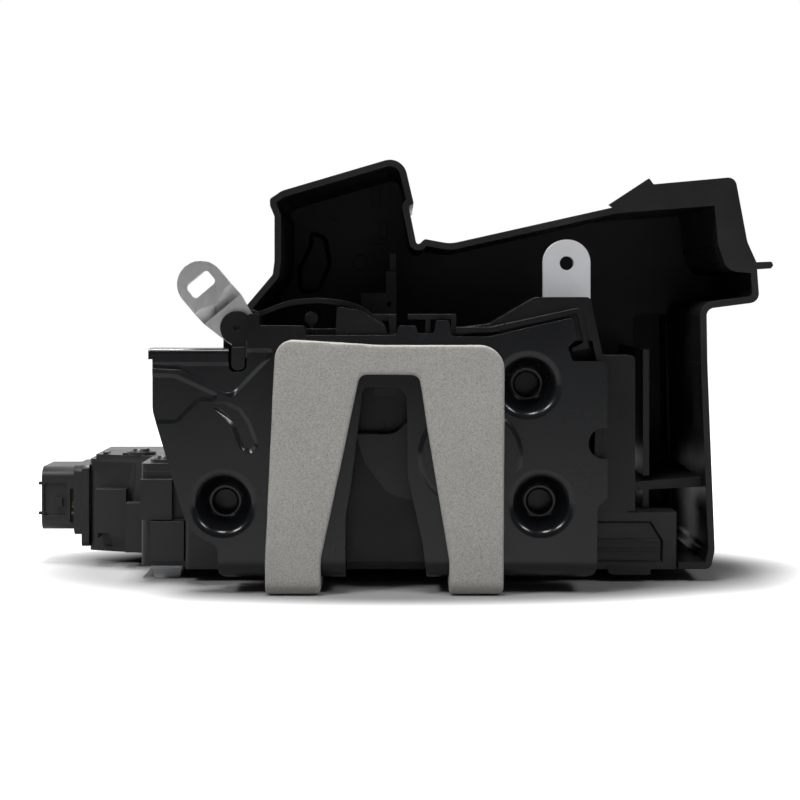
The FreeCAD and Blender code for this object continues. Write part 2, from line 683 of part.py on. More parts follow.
def lock_lever():
    front = LOCK_Y
    back = LOCK_Y + LOCK_T
    blade = [(LOCK_X - LOCK_HALF, LOCK_HOLE_Z + LOCK_HALF, LOCK_HALF), (LOCK_X + LOCK_HALF, LOCK_HOLE_Z + LOCK_HALF,
             LOCK_HALF), (LOCK_X + LOCK_HALF, LOCK_PIVOT_Z, 4.0), (LOCK_X + 2.4, DRIVE_Z - 2.4, 2.2),
             (LOCK_X - 2.4, DRIVE_Z - 2.4, 2.2), (LOCK_X - LOCK_HALF, LOCK_PIVOT_Z, 4.0)]
    body = slab(blade, front, back)
    # Moulded relief on both edges of the long blade
    body = body.fuse(rod(LOCK_X, LOCK_PIVOT_Z, 5.0, front, back + 1.2))
    body = body.fuse(rod(LOCK_X, DRIVE_Z, DRIVE_PIN_R, front, DRIVE_PIN_END))
    body = body.cut(rod(LOCK_X, LOCK_HOLE_Z, LOCK_HOLE_R, 0.0, 40.0))
    return body.cut(rod(LOCK_X, LOCK_PIVOT_Z, LOCK_PIN_R + PIN_FIT, 0.0, 40.0)).removeSplitter()


INSIDE_X = -47.0
INSIDE_Y = 62.0
INSIDE_PIN_R = 2.4
INSIDE_Z0 = HOUSE_TOP + COVER_T + 0.6


def inside_release_lever():
    """The lever for the inside handle's cable, on top of the housing."""
    arm = [(INSIDE_X - 4.5, INSIDE_Y + 4.0, 3.0), (INSIDE_X - 3.5, INSIDE_Y - 16.0, 3.0),
           (INSIDE_X + 3.5, INSIDE_Y - 16.0, 3.0), (INSIDE_X + 4.5, INSIDE_Y + 4.0, 3.0),
           (INSIDE_X + 7.0, INSIDE_Y + 4.2, 1.5), (INSIDE_X + 7.0, INSIDE_Y + 7.8, 1.5),
           (INSIDE_X - 2.0, INSIDE_Y + 7.5, 4.0)]
    body = slab(arm, INSIDE_Z0, INSIDE_Z0 + 2.0, "top")
    body = body.cut(rod(INSIDE_X, INSIDE_Y, INSIDE_PIN_R + PIN_FIT, -40.0, 0.0, "top"))
    return body.cut(rod(INSIDE_X, INSIDE_Y - 12.2, 1.6, -40.0, 0.0, "top")).removeSplitter()


# Actuator housing

HOUSE_OUTLINE = [
    (-46.0, HOUSE_FRONT, 1.0),
    (-46.0, 25.8),
    (STEP_X, 25.8, 1.5),
    (STEP_X, STEP_Y),
    (HOUSE_LEFT, LEFT_FRONT, 2.0),
    (HOUSE_LEFT, HOUSE_BACK, 3.0),
    (HOUSE_RIGHT, HOUSE_BACK, 3.0),
    (HOUSE_RIGHT, HOUSE_FRONT, 1.0),
]
BOSSES = [(HOUSE_LEFT + 13.1, 52.4), (-51.8, 30.8), (-40.0, 24.2), (20.0, 24.2), (51.9, 25.0), (51.0, 72.6),
          (6.0, 72.6), (-41.0, 74.0)]
MOTOR_X = WHEEL_X - 12.0 - MOTOR_LENGTH
DRIVE_Y = WHEEL_Y + WHEEL_R + WORM_R + WORM_GAP
DRIVE_LEVEL = (WHEEL_Z0 + WHEEL_Z1) / 2


def actuator_housing():
    body = slab(HOUSE_OUTLINE, HOUSE_BOTTOM, HOUSE_TOP, "top")
    inner = Part.Face(outline(HOUSE_OUTLINE, HOUSE_BOTTOM + HOUSE_WALL, "top")).makeOffset2D(-HOUSE_WALL)
    body = body.cut(inner.extrude(V(0, 0, HOUSE_TOP - HOUSE_BOTTOM)))
    for x, y in BOSSES:
        body = body.fuse(rod(x, y, 3.2, HOUSE_BOTTOM + HOUSE_WALL, HOUSE_TOP, "top"))
        body = body.cut(rod(x, y, 1.2, HOUSE_TOP - 12.0, HOUSE_TOP + 1.0, "top"))
    # Lower right foot of the housing, beside the face plate
    corner = [(HOUSE_RIGHT - 8.2, HOUSE_FRONT), (HOUSE_LOW_RIGHT, HOUSE_FRONT, 1.0), (HOUSE_LOW_RIGHT, 60.0, 4.0),
              (HOUSE_RIGHT - 0.5, 66.0), (HOUSE_RIGHT - 0.5, HOUSE_FRONT + 1.6),
              (HOUSE_RIGHT - 8.2, HOUSE_FRONT + 1.6)]
    wing = slab(corner, HOUSE_BOTTOM, HOUSE_LOW_TOP, "top")
    wing = wing.cut(box(HOUSE_RIGHT + 0.6, HOUSE_LOW_RIGHT - 1.6, HOUSE_FRONT + 1.6, 56.0, HOUSE_BOTTOM - 1,
                        HOUSE_LOW_TOP - 1.6))
    body = body.fuse(wing)
    relief = [(48.0, -26.2), (61.2, -26.2), (64.0, -30.8), (63.8, -35.7), (48.0, -35.7)]
    body = body.cut(pad(relief, HOUSE_FRONT - 0.1, HOUSE_FRONT + 0.7, 0.5))
    for z in (-30.9, -33.0):
        body = body.fuse(box(HOUSE_RIGHT - 7.0, 63.0, HOUSE_FRONT + 0.1, HOUSE_FRONT + 1.0, z, z + 0.5))
    snap = [(51.3, HOUSE_BOTTOM - 0.8, 0.4), (52.4, HOUSE_BOTTOM - 1.3, 0.4), (61.0, HOUSE_BOTTOM - 1.3, 0.4),
            (61.0, HOUSE_BOTTOM + 1.0), (51.3, HOUSE_BOTTOM + 1.0)]
    body = body.fuse(slab(snap, HOUSE_FRONT - 0.2, HOUSE_FRONT + 6.0))
    # Arms that reach forward to the back plate
    for x, z in ((-26.0, -27.0), (26.0, -27.0)):
        body = body.fuse(rod(x, z, 3.6, CASE_FLOOR_Y + CASE_FLOOR_T + BACK_T, HOUSE_FRONT + 0.5))
    # Clip blocks on the left end
    for block in (box(-56.9, -49.5, 23.4, 26.4, -26.4, -17.0),
                  box(-54.4, -46.6, 22.6, 26.4, -36.0, -26.6),
                  box(HOUSE_LEFT + 2.3, HOUSE_LEFT + 9.9, 48.4, 53.4, -33.6, -21.7),
                  box(HOUSE_LEFT + 10.3, HOUSE_LEFT + 16.1, 44.0, 51.0, -36.6, -24.6)):
        body = body.fuse(block)
    body = body.cut(box(HOUSE_LEFT + 3.1, HOUSE_LEFT + 5.9, 45.0, 53.0, -36.0, -32.4))
    # Feet under the rear edge
    for x in (HOUSE_LEFT + 13.5, -8.0, HOUSE_RIGHT - 10.0):
        body = body.fuse(cone(x, HOUSE_BACK - 7.0, FOOT_R, FOOT_R + 0.8, FOAM_BOTTOM, HOUSE_BOTTOM + 0.2, "top"))
    # Motor cradle
    for x in (MOTOR_X + 3.0, MOTOR_X + MOTOR_LENGTH - 5.0):
        cradle = box(x, x + 2.0, DRIVE_Y - 11.0, DRIVE_Y + 11.0, HOUSE_BOTTOM + HOUSE_WALL - 0.2, DRIVE_LEVEL)
        body = body.fuse(cradle)
    body = body.cut(motor_can(0.15))
    # Wheel boss, slider rails and worm bearing
    body = body.fuse(rod(WHEEL_X, WHEEL_Y, 4.5, HOUSE_BOTTOM + HOUSE_WALL - 0.2, WHEEL_Z0 - 0.3, "top"))
    body = body.cut(rod(WHEEL_X, WHEEL_Y, WHEEL_PIN_R, WHEEL_Z0 - 5.0, 0.0, "top"))
    for x in (8.0, 30.0):
        body = body.fuse(box(x, x + 2.0, 32.5, 43.0, HOUSE_BOTTOM + HOUSE_WALL - 0.2, SLIDER_Z0 - 0.3))
    bearing_x = WHEEL_X + WORM_LENGTH / 2 + 1.2
    bearing = box(bearing_x, bearing_x + 3.0, DRIVE_Y - 4.0, DRIVE_Y + 4.0, HOUSE_BOTTOM + HOUSE_WALL - 0.2,
                  DRIVE_LEVEL + 3.2)
    body = body.fuse(bearing).cut(rod(DRIVE_Y, DRIVE_LEVEL, 1.06, bearing_x - 1, bearing_x + 4, "side"))
    # Window for the connector shell
    body = body.cut(box(HOUSE_LEFT - 1.0, HOUSE_LEFT + 6.2, PLUG_Y - PLUG_HALF_Y, PLUG_Y + PLUG_HALF_Y,
                        PLUG_BOTTOM, PLUG_TOP))
    return body.removeSplitter()


def actuator_cover():
    top = HOUSE_TOP + COVER_T
    lid = slab(HOUSE_OUTLINE, HOUSE_TOP, top, "top")
    lid = lid.cut(box(HOUSE_LEFT - 1.0, HOUSE_LEFT + 1.7, 40.0, 90.0, HOUSE_TOP + 0.6, top + 1))
    lid = lid.cut(box(LOCK_X - 7.6, LOCK_X + 7.6, 21.3, 26.2, HOUSE_TOP - 1, top + 1))
    lid = lid.fuse(rod(INSIDE_X, INSIDE_Y, 4.2, top - 0.2, INSIDE_Z0 - 0.1, "top"))
    lid = lid.cut(rod(INSIDE_X, INSIDE_Y, INSIDE_PIN_R - 0.8, HOUSE_TOP - 1, 0.0, "top"))
    # Stiffening ribs along the left end, seen from the front
    for inset in (3.5, 8.6, 13.6):
        x = HOUSE_LEFT + inset
        edge = LEFT_FRONT + (STEP_Y - LEFT_FRONT) * inset / (STEP_X - HOUSE_LEFT)
        lid = lid.fuse(box(x, x + 1.2, edge + 0.4, edge + 5.0, top - 0.2, top + 0.5))
    for x in (-20.0, -5.0, 10.0):
        lid = lid.fuse(box(x, x + 1.2, 30.0, 70.0, top - 0.2, top + 1.0))
    for x, y in BOSSES:
        lid = lid.fuse(rod(x, y, 3.6, top - 0.2, top + 0.8, "top"))
        lid = lid.cut(rod(x, y, 1.5, HOUSE_TOP - 1, top + 2, "top"))
        lid = lid.cut(rod(x, y, 2.8, top + 0.2, top + 2, "top"))
    return lid.removeSplitter()


def motor_can(grow):
    radius = MOTOR_R + grow
    flat = MOTOR_FLAT + grow
    can = rod(DRIVE_Y, DRIVE_LEVEL, radius, MOTOR_X - grow, MOTOR_X + MOTOR_LENGTH + grow, "side")
    return can.common(box(MOTOR_X - 1, MOTOR_X + MOTOR_LENGTH + 1, DRIVE_Y - 20, DRIVE_Y + 20, DRIVE_LEVEL - flat,
                          DRIVE_LEVEL + flat))


def lock_motor():
    can = motor_can(0.0)
    can = can.fuse(rod(DRIVE_Y, DRIVE_LEVEL, 3.0, MOTOR_X - 1.8, MOTOR_X + 0.1, "side"))
    nose = MOTOR_X + MOTOR_LENGTH
    can = can.fuse(rod(DRIVE_Y, DRIVE_LEVEL, 3.0, nose - 0.1, nose + 1.6, "side"))
    return can.cut(rod(DRIVE_Y, DRIVE_LEVEL, 1.06, MOTOR_X + 4.0, nose + 3.0, "side")).removeSplitter()


def worm():
    """The motor's shaft with its worm; the thread is a row of ridges."""
    start = WHEEL_X - WORM_LENGTH / 2
    end = WHEEL_X + WORM_LENGTH / 2
    shaft = rod(DRIVE_Y, DRIVE_LEVEL, 1.0, MOTOR_X + 4.5, end + 3.4, "side")
    profile = [(0.0, start)]
    pitch = 2.5
    ridges = int(WORM_LENGTH / pitch)
    for i in range(ridges):
        x = start + i * pitch
        profile += [(2.3, x), (2.3, x + 0.5), (WORM_R, x + 1.1), (WORM_R, x + 1.6), (2.3, x + 2.2)]
    profile += [(2.3, end), (0.0, end)]
    thread = turned(profile, 0.0, 0.0, "front")
    thread.rotate(V(0, 0, 0), V(0, 0, 1), -90)
    thread.translate(V(0, DRIVE_Y, DRIVE_LEVEL))
    return join(shaft, thread)


def worm_wheel():
    rim = []
    step = 360.0 / WHEEL_TEETH
    root = WHEEL_R - WHEEL_TOOTH
    for i in range(WHEEL_TEETH):
        for share, radius in ((0.0, root), (0.25, root), (0.38, WHEEL_R), (0.87, WHEEL_R)):
            angle = math.radians((i + share) * step)
            rim.append((WHEEL_X + radius * math.cos(angle), WHEEL_Y + radius * math.sin(angle)))
    body = slab(rim, WHEEL_Z0, WHEEL_Z1, "top")
    web = rod(WHEEL_X, WHEEL_Y, root - 2.0, WHEEL_Z0 + 3.6, WHEEL_Z1 + 1.0, "top")
    web = web.cut(rod(WHEEL_X, WHEEL_Y, 4.6, WHEEL_Z0, WHEEL_Z1 + 2.0, "top"))
    body = body.cut(web)
    peg_y = WHEEL_Y - PEG_RADIUS
    hub = join(rod(WHEEL_X, WHEEL_Y, 4.6, WHEEL_Z0, WHEEL_Z1, "top"),
               rod(WHEEL_X, peg_y, PEG_R + 1.0, WHEEL_Z0 + 3.0, WHEEL_Z1, "top"),
               rod(WHEEL_X, peg_y, PEG_R, WHEEL_Z1 - 0.1, SLIDER_Z0 + SLIDER_T, "top"))
    bore = rod(WHEEL_X, WHEEL_Y, WHEEL_PIN_R + PIN_FIT, WHEEL_Z0 - 1, WHEEL_Z1 + 0.01, "top")
    return body.fuse(hub).cut(bore).removeSplitter()


def lock_slider():
    top = SLIDER_Z0 + SLIDER_T
    peg_y = WHEEL_Y - PEG_RADIUS
    plan = [(WHEEL_X - 5.0, peg_y - 4.0, 1.0), (WHEEL_X - 5.0, peg_y + 4.2, 1.0), (LOCK_X + 4.0, peg_y + 4.2, 2.0),
            (LOCK_X + 4.0, 21.9), (LOCK_X - 4.0, 21.9), (LOCK_X - 4.0, peg_y - 4.0, 3.0)]
    body = slab(plan, SLIDER_Z0, top, "top")
    gap = PEG_R + SLIDER_SLOT_GAP
    slot = [(WHEEL_X - gap, peg_y - 2.2, gap * 0.9), (WHEEL_X + gap, peg_y - 2.2, gap * 0.9),
            (WHEEL_X + gap, peg_y + 3.2, gap * 0.9), (WHEEL_X - gap, peg_y + 3.2, gap * 0.9)]
    body = body.cut(slab(slot, SLIDER_Z0 - 1, top + 1, "top"))
    fork_gap = DRIVE_PIN_R + SLIDER_SLOT_GAP
    for side in (-1, 1):
        x0, x1 = sorted((LOCK_X + side * fork_gap, LOCK_X + side * (fork_gap + 1.8)))
        body = body.fuse(box(x0, x1, 21.9, 24.6, top - 0.1, DRIVE_Z + 3.4))
    return body.removeSplitter()


# Connector

def connector_shell():
    """The socket that takes the door loom's plug, open to the left."""
    y0 = PLUG_Y - PLUG_HALF_Y
    y1 = PLUG_Y + PLUG_HALF_Y
    collar_x = PLUG_END + PLUG_COLLAR
    tube = [(y0, PLUG_BOTTOM, 2.5), (y1, PLUG_BOTTOM, 2.5), (y1, PLUG_TOP, 3.0), (y0, PLUG_TOP, 3.0)]
    shell = slab(tube, PLUG_END, HOUSE_LEFT + 6.0, "side")
    shell = shell.common(join(box(PLUG_END, HOUSE_LEFT, y0, y1, PLUG_BOTTOM, PLUG_TOP),
                              box(HOUSE_LEFT - 0.1, HOUSE_LEFT + 6.0, y0 + 0.1, y1 - 0.1, PLUG_BOTTOM + 0.1,
                                  PLUG_TOP - 0.1)))
    step = [(y0 - 1.5, PLUG_BOTTOM - 4.0, 1.5), (y1 + 1.5, PLUG_BOTTOM - 4.0, 1.5), (y1 + 1.5, PLUG_TOP + 0.6, 1.5),
            (y0 - 1.5, PLUG_TOP + 0.6, 1.5)]
    shell = shell.fuse(slab(step, collar_x + 2.0, HOUSE_LEFT, "side"))
    ring = [(y0 - 0.8, PLUG_BOTTOM - 1.2, 2.0), (y1 + 0.8, PLUG_BOTTOM - 1.2, 2.0), (y1 + 0.8, PLUG_TOP + 0.4, 2.0),
            (y0 - 0.8, PLUG_TOP + 0.4, 2.0)]
    shell = shell.fuse(slab(ring, collar_x, collar_x + 2.1, "side"))
    w = PLUG_WALL
    socket = [(y0 + w, PLUG_BOTTOM + w, 1.5), (y1 - w, PLUG_BOTTOM + w, 1.5), (y1 - w, PLUG_TOP - w, 2.0),
              (y0 + w, PLUG_TOP - w, 2.0)]
    shell = shell.cut(slab(socket, PLUG_END - 1.0, PLUG_END + PLUG_DEPTH, "side"))
    shell = shell.cut(box(PLUG_END + 0.6, PLUG_END + 6.2, y0 - 1, y0 + 0.6, PLUG_BOTTOM + 3.6, PLUG_TOP - 4.0))
    shell = shell.fuse(box(PLUG_END + 3.6, PLUG_END + 5.2, y0 - 0.5, y0 + 0.7, -26.6, -24.4))
    shell = shell.cut(box(collar_x - 1.0, collar_x - 0.2, y0 - 1, y0 + w + 1, -30.6, -22.2))
    for z in (-21.2, -28.6):
        shell = shell.fuse(box(PLUG_END - 0.8, PLUG_END + 1.0, y0 + 0.2, y0 + 1.4, z, z + 0.7))
    for y, z in terminal_places():
        shell = shell.cut(box(PLUG_END + PLUG_DEPTH - 1, HOUSE_LEFT + 7.0, y - 0.35, y + 0.35, z - 0.35, z + 0.35))
    return shell.removeSplitter()


def terminal_places():
    middle = (PLUG_TOP + PLUG_BOTTOM) / 2
    return [(PLUG_Y + (i - 2) * 3.2, middle + row * 2.4) for row in (-1, 1) for i in range(5)]


def terminals():
    pins = []
    for y, z in terminal_places():
        pins.append(box(PLUG_END + 5.6, HOUSE_LEFT + 8.5, y - 0.32, y + 0.32, z - 0.32, z + 0.32))
    return Part.makeCompound(pins)


def lead_frame():
    """The terminal carrier inside the housing, with its stamped tracks."""
    x0 = HOUSE_LEFT + 8.7
    carrier = box(x0, x0 + 2.4, PLUG_Y - 9.0, PLUG_Y + 9.0, HOUSE_BOTTOM + HOUSE_WALL, PLUG_TOP - 2.0)
    base = [(x0, 57.0), (x0, 73.0), (MOTOR_X - 3.0, 73.0), (MOTOR_X - 3.0, 57.0)]
    carrier = carrier.fuse(slab(base, HOUSE_BOTTOM + HOUSE_WALL, HOUSE_BOTTOM + HOUSE_WALL + 1.6, "top"))
    for y in (60.0, 64.0, 68.0):
        carrier = carrier.fuse(box(x0 + 1.0, MOTOR_X - 3.4, y, y + 1.0, HOUSE_BOTTOM + HOUSE_WALL + 1.5,
                                   HOUSE_BOTTOM + HOUSE_WALL + 2.0))
    return carrier.removeSplitter()


def micro_switch(x, y, z):
    body = box(x, x + 10.0, y, y + 4.6, z, z + 6.0)
    body = body.fuse(box(x + 2.0, x + 4.0, y + 1.4, y + 3.2, z + 5.9, z + 7.0))
    for dx in (1.5, 4.6, 7.7):
        body = body.fuse(box(x + dx, x + dx + 0.8, y + 2.0, y + 2.6, z - 2.0, z + 0.1))
    return body.removeSplitter()


# Shroud

def shroud_top():
    """The roof line of the shroud, from its left foot to its right foot."""
    return [
        (-36.0, 18.5, 3.0),
        (-25.9, 30.5, 1.0),
        (-25.5, 33.6, 0.6),
        (-25.5, 43.9, 1.0),
        (-26.5, 46.3, 0.4),
        (-26.6, 47.9, 0.8),
        (-23.8, 49.8, 4.0),
        (4.0, 58.0, 4.0),
        (6.6, 46.8, 0.4),
        (5.4, 46.2, 0.4),
        (7.3, 37.0, 0.6),
        (9.1, 38.7, 0.8),
        (15.0, 37.6, 8.0),
        (53.4, 46.2, 10.0),
        (77.2, 48.0, 1.5),
        (78.2, 37.6, 3.0),
        (79.8, 32.8, 2.0),
        (85.6, 32.2, 0.6),
        (86.2, 24.2, 2.2),
        (74.0, 22.6, 1.8),
        (74.2, 10.0, 20.0),
        (75.9, -33.0, 6.0),
        (74.9, HOUSE_BOTTOM, 1.6),
    ]


def shroud():
    foot_x = HOUSE_LOW_RIGHT + 0.3
    shut = shroud_top() + [(foot_x, HOUSE_BOTTOM), (foot_x, SHROUD_FOOT), (-36.0, SHROUD_FOOT)]
    open_foot = shroud_top() + [(50.0, HOUSE_BOTTOM), (50.0, -32.0), (-36.0, -32.0)]
    body = slab(shut, SHROUD_FRONT, SHROUD_BACK)
    inner = Part.Face(outline(open_foot, SHROUD_FRONT - 1.0, "front")).makeOffset2D(-SHROUD_WALL)
    body = body.cut(inner.extrude(V(0, SHROUD_BACK - SHROUD_WALL - SHROUD_FRONT + 1.0, 0)))
    # The back wall keeps clear of the housing's lower right part
    body = body.cut(box(50.0, foot_x, SHROUD_FRONT - 1, SHROUD_BACK - SHROUD_WALL, -60.0, SHROUD_FOOT))
    # Deep pocket at the right
    pocket = [(62.6, 20.6, 0.6), (64.6, 22.6, 0.6), (73.8, 22.4, 1.5), (74.6, HOUSE_BOTTOM, 1.5),
              (62.6, HOUSE_BOTTOM, 1.5)]
    deep = slab(pocket, SHROUD_BACK - SHROUD_WALL, RECESS_BACK)
    hollow = Part.Face(outline(pocket, SHROUD_BACK - 3.0, "front")).makeOffset2D(-SHROUD_WALL)
    hollow = hollow.extrude(V(0, RECESS_BACK - SHROUD_WALL - SHROUD_BACK + 3.0, 0))
    body = body.fuse(deep).cut(hollow)
    # Wide lip round the upper right corner
    lip_outer = [(51.5, 46.6), (60.8, 52.7, 0.3), (61.8, 51.3, 0.3), (80.6, 53.0, 2.0), (83.4, 38.0, 6.0),
                 (85.6, 33.1, 1.0), (85.6, 31.8), (79.4, 32.2), (77.6, 37.4, 3.0), (76.6, 47.2, 1.2), (53.4, 45.2)]
    body = body.fuse(slab(lip_outer, SHROUD_FRONT, SHROUD_FRONT + LIP_T))
    # Locating pin on the right edge
    body = body.fuse(slab([(84.0, 33.3), (89.0, 33.5, 0.5), (89.4, 32.6, 0.5), (88.8, 31.9, 0.4), (84.0, 31.6)],
                          SHROUD_FRONT, SHROUD_FRONT + 1.6))
    # Ribs of the deep pocket
    body = body.fuse(box(60.2, 61.7, 27.0, SHROUD_BACK - 0.5, -16.4, 13.0))
    shelf = [(58.6, -19.8), (58.6, -17.9), (74.4, -16.7), (74.4, -19.0)]
    body = body.fuse(slab(shelf, 27.0, SHROUD_BACK - 0.5))
    body = body.fuse(box(57.4, 58.7, 27.0, SHROUD_BACK - 0.5, -19.6, -18.2))
    body = body.fuse(box(60.2, 61.6, 27.0, 40.0, HOUSE_LOW_TOP + 0.3, -19.0))
    # Moulded features on the hood's back wall
    wall_face = SHROUD_BACK - SHROUD_WALL
    tear = [(-20.0, 43.0, 1.5), (-15.5, 41.0, 2.0), (-14.2, 33.7, 4.0), (-17.3, 26.7, 1.5), (-22.8, 26.0, 1.5),
            (-23.2, 32.9, 2.0), (-20.2, 38.9, 2.0)]
    body = body.fuse(pad(tear, wall_face + 0.01, wall_face - 1.0, 1.1))
    for x0, x1, z0, z1 in ((-3.6, -1.8, 49.0, 54.2), (-1.8, 0.1, 40.7, 44.9), (-3.8, -0.5, 39.2, 40.2)):
        body = body.fuse(box(x0, x1, wall_face - 0.6, wall_face + 0.1, z0, z1))
    body = body.fuse(rod(-13.7, 45.1, 0.6, wall_face - 0.5, wall_face + 0.1))
    body = body.fuse(rod(-7.0, 34.4, 1.9, wall_face - 0.4, wall_face + 0.1))
    return body.removeSplitter()


def shroud_bracket():
    """The plastic rail inside the hood that carries the shroud on the case."""
    rail = box(0.0, 2.6, 40.0, 42.0, 21.2, 31.6)
    foot = box(-6.0, 2.6, 40.0, 42.0, 21.2, 26.4)
    arm = box(-6.0, 2.6, 19.0, 42.0, 19.8, 21.4)
    post = box(0.9, 2.6, 15.0, 19.2, 17.0, 21.4)
    stiff = box(0.9, 2.5, 41.8, SHROUD_BACK - SHROUD_WALL, 20.4, 36.0)
    body = join(rail, foot, arm, stiff, post)
    return body.cut(rod(0.9, 23.6, 0.6, 39.0, 42.1)).removeSplitter()


def screw(x, y, top, length, head_r, shank_r, view="top", sign=1):
    """A pan-head screw whose head sits on a level and whose shank goes below it."""
    head = cone(x, y, head_r, head_r * 0.8, top, top + 1.4, view)
    shank = rod(x, y, shank_r, top - length, top + 0.1, view)
    body = head.fuse(shank)
    return body.cut(rod(x, y, head_r * 0.36, top + 0.7, top + 2.0, view)).removeSplitter()


def foot_clip():
    """The white clip that stands under the left end of the housing."""
    top = HOUSE_BOTTOM - 0.9
    base = [(-54.2, FOAM_BOTTOM, 0.6), (-48.0, FOAM_BOTTOM, 0.6), (-47.8, top), (-54.4, top)]
    body = slab(base, 27.4, 33.6)
    return body.fuse(box(-54.8, -47.4, 27.0, 34.0, HOUSE_BOTTOM - 1.0, HOUSE_BOTTOM)).removeSplitter()


def build():
    os.makedirs("parts", exist_ok=True)
    plate = face_plate()
    save("face_plate", plate)
    save("foam_seal", foam_seal(plate))
    save("latch_case", latch_case())
    save("back_plate", back_plate())
    core, mould = claw()
    save("claw", core)
    save("claw_overmould", mould)
    rear = CASE_FLOOR_Y + CASE_FLOOR_T + BACK_T
    save("claw_pin", pivot_pin(CLAW_X, CLAW_Z, CLAW_PIN_R, rear + PIN_HEAD_T))
    save("pawl", pawl())
    save("pawl_pin", pivot_pin(PAWL_X, PAWL_Z, PAWL_PIN_R, rear + PIN_HEAD_T))
    save("claw_spring", coil(CLAW_X, CLAW_Z, CLAW_PIN_R + 1.4, 1.2, 3, rear))
    save("pawl_spring", coil(PAWL_X, PAWL_Z, PAWL_PIN_R + 1.2, 1.0, 3, rear))
    bumper = [(-3.4, 6.0, 0.6), (3.4, 6.0, 0.6), (4.6, 12.0, 1.0), (-0.6, 12.6, 1.0)]
    save("striker_bumper", slab([(x, z + 1.0) for x, z, *_ in bumper], CASE_FLOOR_Y - 0.9, CASE_FLOOR_Y))
    save("outside_release_lever", outside_release_lever())
    save("pivot_cap", pivot_cap())
    save("outside_lever_pin", rod(OUTER_X, OUTER_Z, OUTER_PIN_R, CAP_FRONT + 1.2, rear - BACK_T))
    save("release_lever", release_lever())
    save("lock_lever", lock_lever())
    lock_pin = rod(LOCK_X, LOCK_PIVOT_Z, LOCK_PIN_R - 1, rear - BACK_T, rear)
    lock_pin = lock_pin.fuse(rod(LOCK_X, LOCK_PIVOT_Z, LOCK_PIN_R, rear, LOCK_Y + LOCK_T + 1.6))
    lock_pin = lock_pin.fuse(rod(LOCK_X, LOCK_PIVOT_Z, LOCK_PIN_R + 1.0,
                                 LOCK_Y + LOCK_T + 1.6, LOCK_Y + LOCK_T + 2.4))
    save("lock_lever_pin", lock_pin.removeSplitter())
    save("actuator_housing", actuator_housing())
    save("actuator_cover", actuator_cover())
    save("lock_motor", lock_motor())
    save("worm", worm())
    save("worm_wheel", worm_wheel())
    save("wheel_pin", rod(WHEEL_X, WHEEL_Y, WHEEL_PIN_R, WHEEL_Z0 - 4.8, WHEEL_Z1 - 0.4, "top"))
    save("lock_slider", lock_slider())
    save("connector_shell", connector_shell())
    save("connector_terminals", terminals())
    save("lead_frame", lead_frame())
    save("claw_switch", micro_switch(4.0, HOUSE_FRONT + 2.0, HOUSE_BOTTOM + HOUSE_WALL + 2.0))
    save("lock_switch", micro_switch(24.0, 46.0, HOUSE_BOTTOM + HOUSE_WALL + 2.0))
    top = HOUSE_TOP + COVER_T
    save("cover_screws", Part.makeCompound([screw(x, y, top + 0.2, 9.0, 2.5, 1.15) for x, y in BOSSES]))
    save("inside_release_lever", inside_release_lever())
    inside_pin = rod(INSIDE_X, INSIDE_Y, INSIDE_PIN_R - 0.8, HOUSE_TOP, INSIDE_Z0, "top")
    inside_pin = inside_pin.fuse(rod(INSIDE_X, INSIDE_Y, INSIDE_PIN_R, INSIDE_Z0 - 0.1, INSIDE_Z0 + 2.2, "top"))
    inside_pin = inside_pin.fuse(rod(INSIDE_X, INSIDE_Y, INSIDE_PIN_R + 1.0,
                                     INSIDE_Z0 + 2.2, INSIDE_Z0 + 3.0, "top"))
    save("inside_lever_pin", inside_pin.removeSplitter())
    save("shroud", shroud())
    save("shroud_bracket", shroud_bracket())
    save("foot_clip", foot_clip())


build()
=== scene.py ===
import bpy
import json
import math
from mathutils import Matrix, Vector, noise


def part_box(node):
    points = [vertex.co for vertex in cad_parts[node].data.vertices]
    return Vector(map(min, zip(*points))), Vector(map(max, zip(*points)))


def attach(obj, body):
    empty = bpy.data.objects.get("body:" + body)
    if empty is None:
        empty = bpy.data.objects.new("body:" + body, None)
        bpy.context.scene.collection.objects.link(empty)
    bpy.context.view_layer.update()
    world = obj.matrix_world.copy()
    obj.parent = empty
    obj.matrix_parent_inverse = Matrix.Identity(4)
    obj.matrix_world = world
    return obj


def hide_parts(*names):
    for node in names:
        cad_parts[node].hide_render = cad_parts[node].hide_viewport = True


# The looks of a vehicle door latch with its lock actuator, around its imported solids.
# Everything is in metres, in the frame of the solids: X along the face plate, Y into the door, Z up.

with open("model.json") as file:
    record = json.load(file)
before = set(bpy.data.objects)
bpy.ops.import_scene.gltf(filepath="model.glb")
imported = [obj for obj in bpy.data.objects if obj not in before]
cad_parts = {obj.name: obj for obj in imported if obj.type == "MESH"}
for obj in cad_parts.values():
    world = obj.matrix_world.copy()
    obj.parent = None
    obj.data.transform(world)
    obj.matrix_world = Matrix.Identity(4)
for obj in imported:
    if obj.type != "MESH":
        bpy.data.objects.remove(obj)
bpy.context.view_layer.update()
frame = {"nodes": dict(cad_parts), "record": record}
nodes = frame["nodes"]

MM = 0.001
FLOOR_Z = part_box("foam_seal")[0].z


# Camera

CAMERA_PLACE = Vector((3.41, -430.0, 24.64)) * MM
CAMERA_LENS = 87.95
CAMERA_SENSOR = 36.0
CAMERA_SHIFT_Y = -0.125
CLIP_START = 0.01
CLIP_END = 20.0
LEVEL_VIEW = math.radians(90.0)


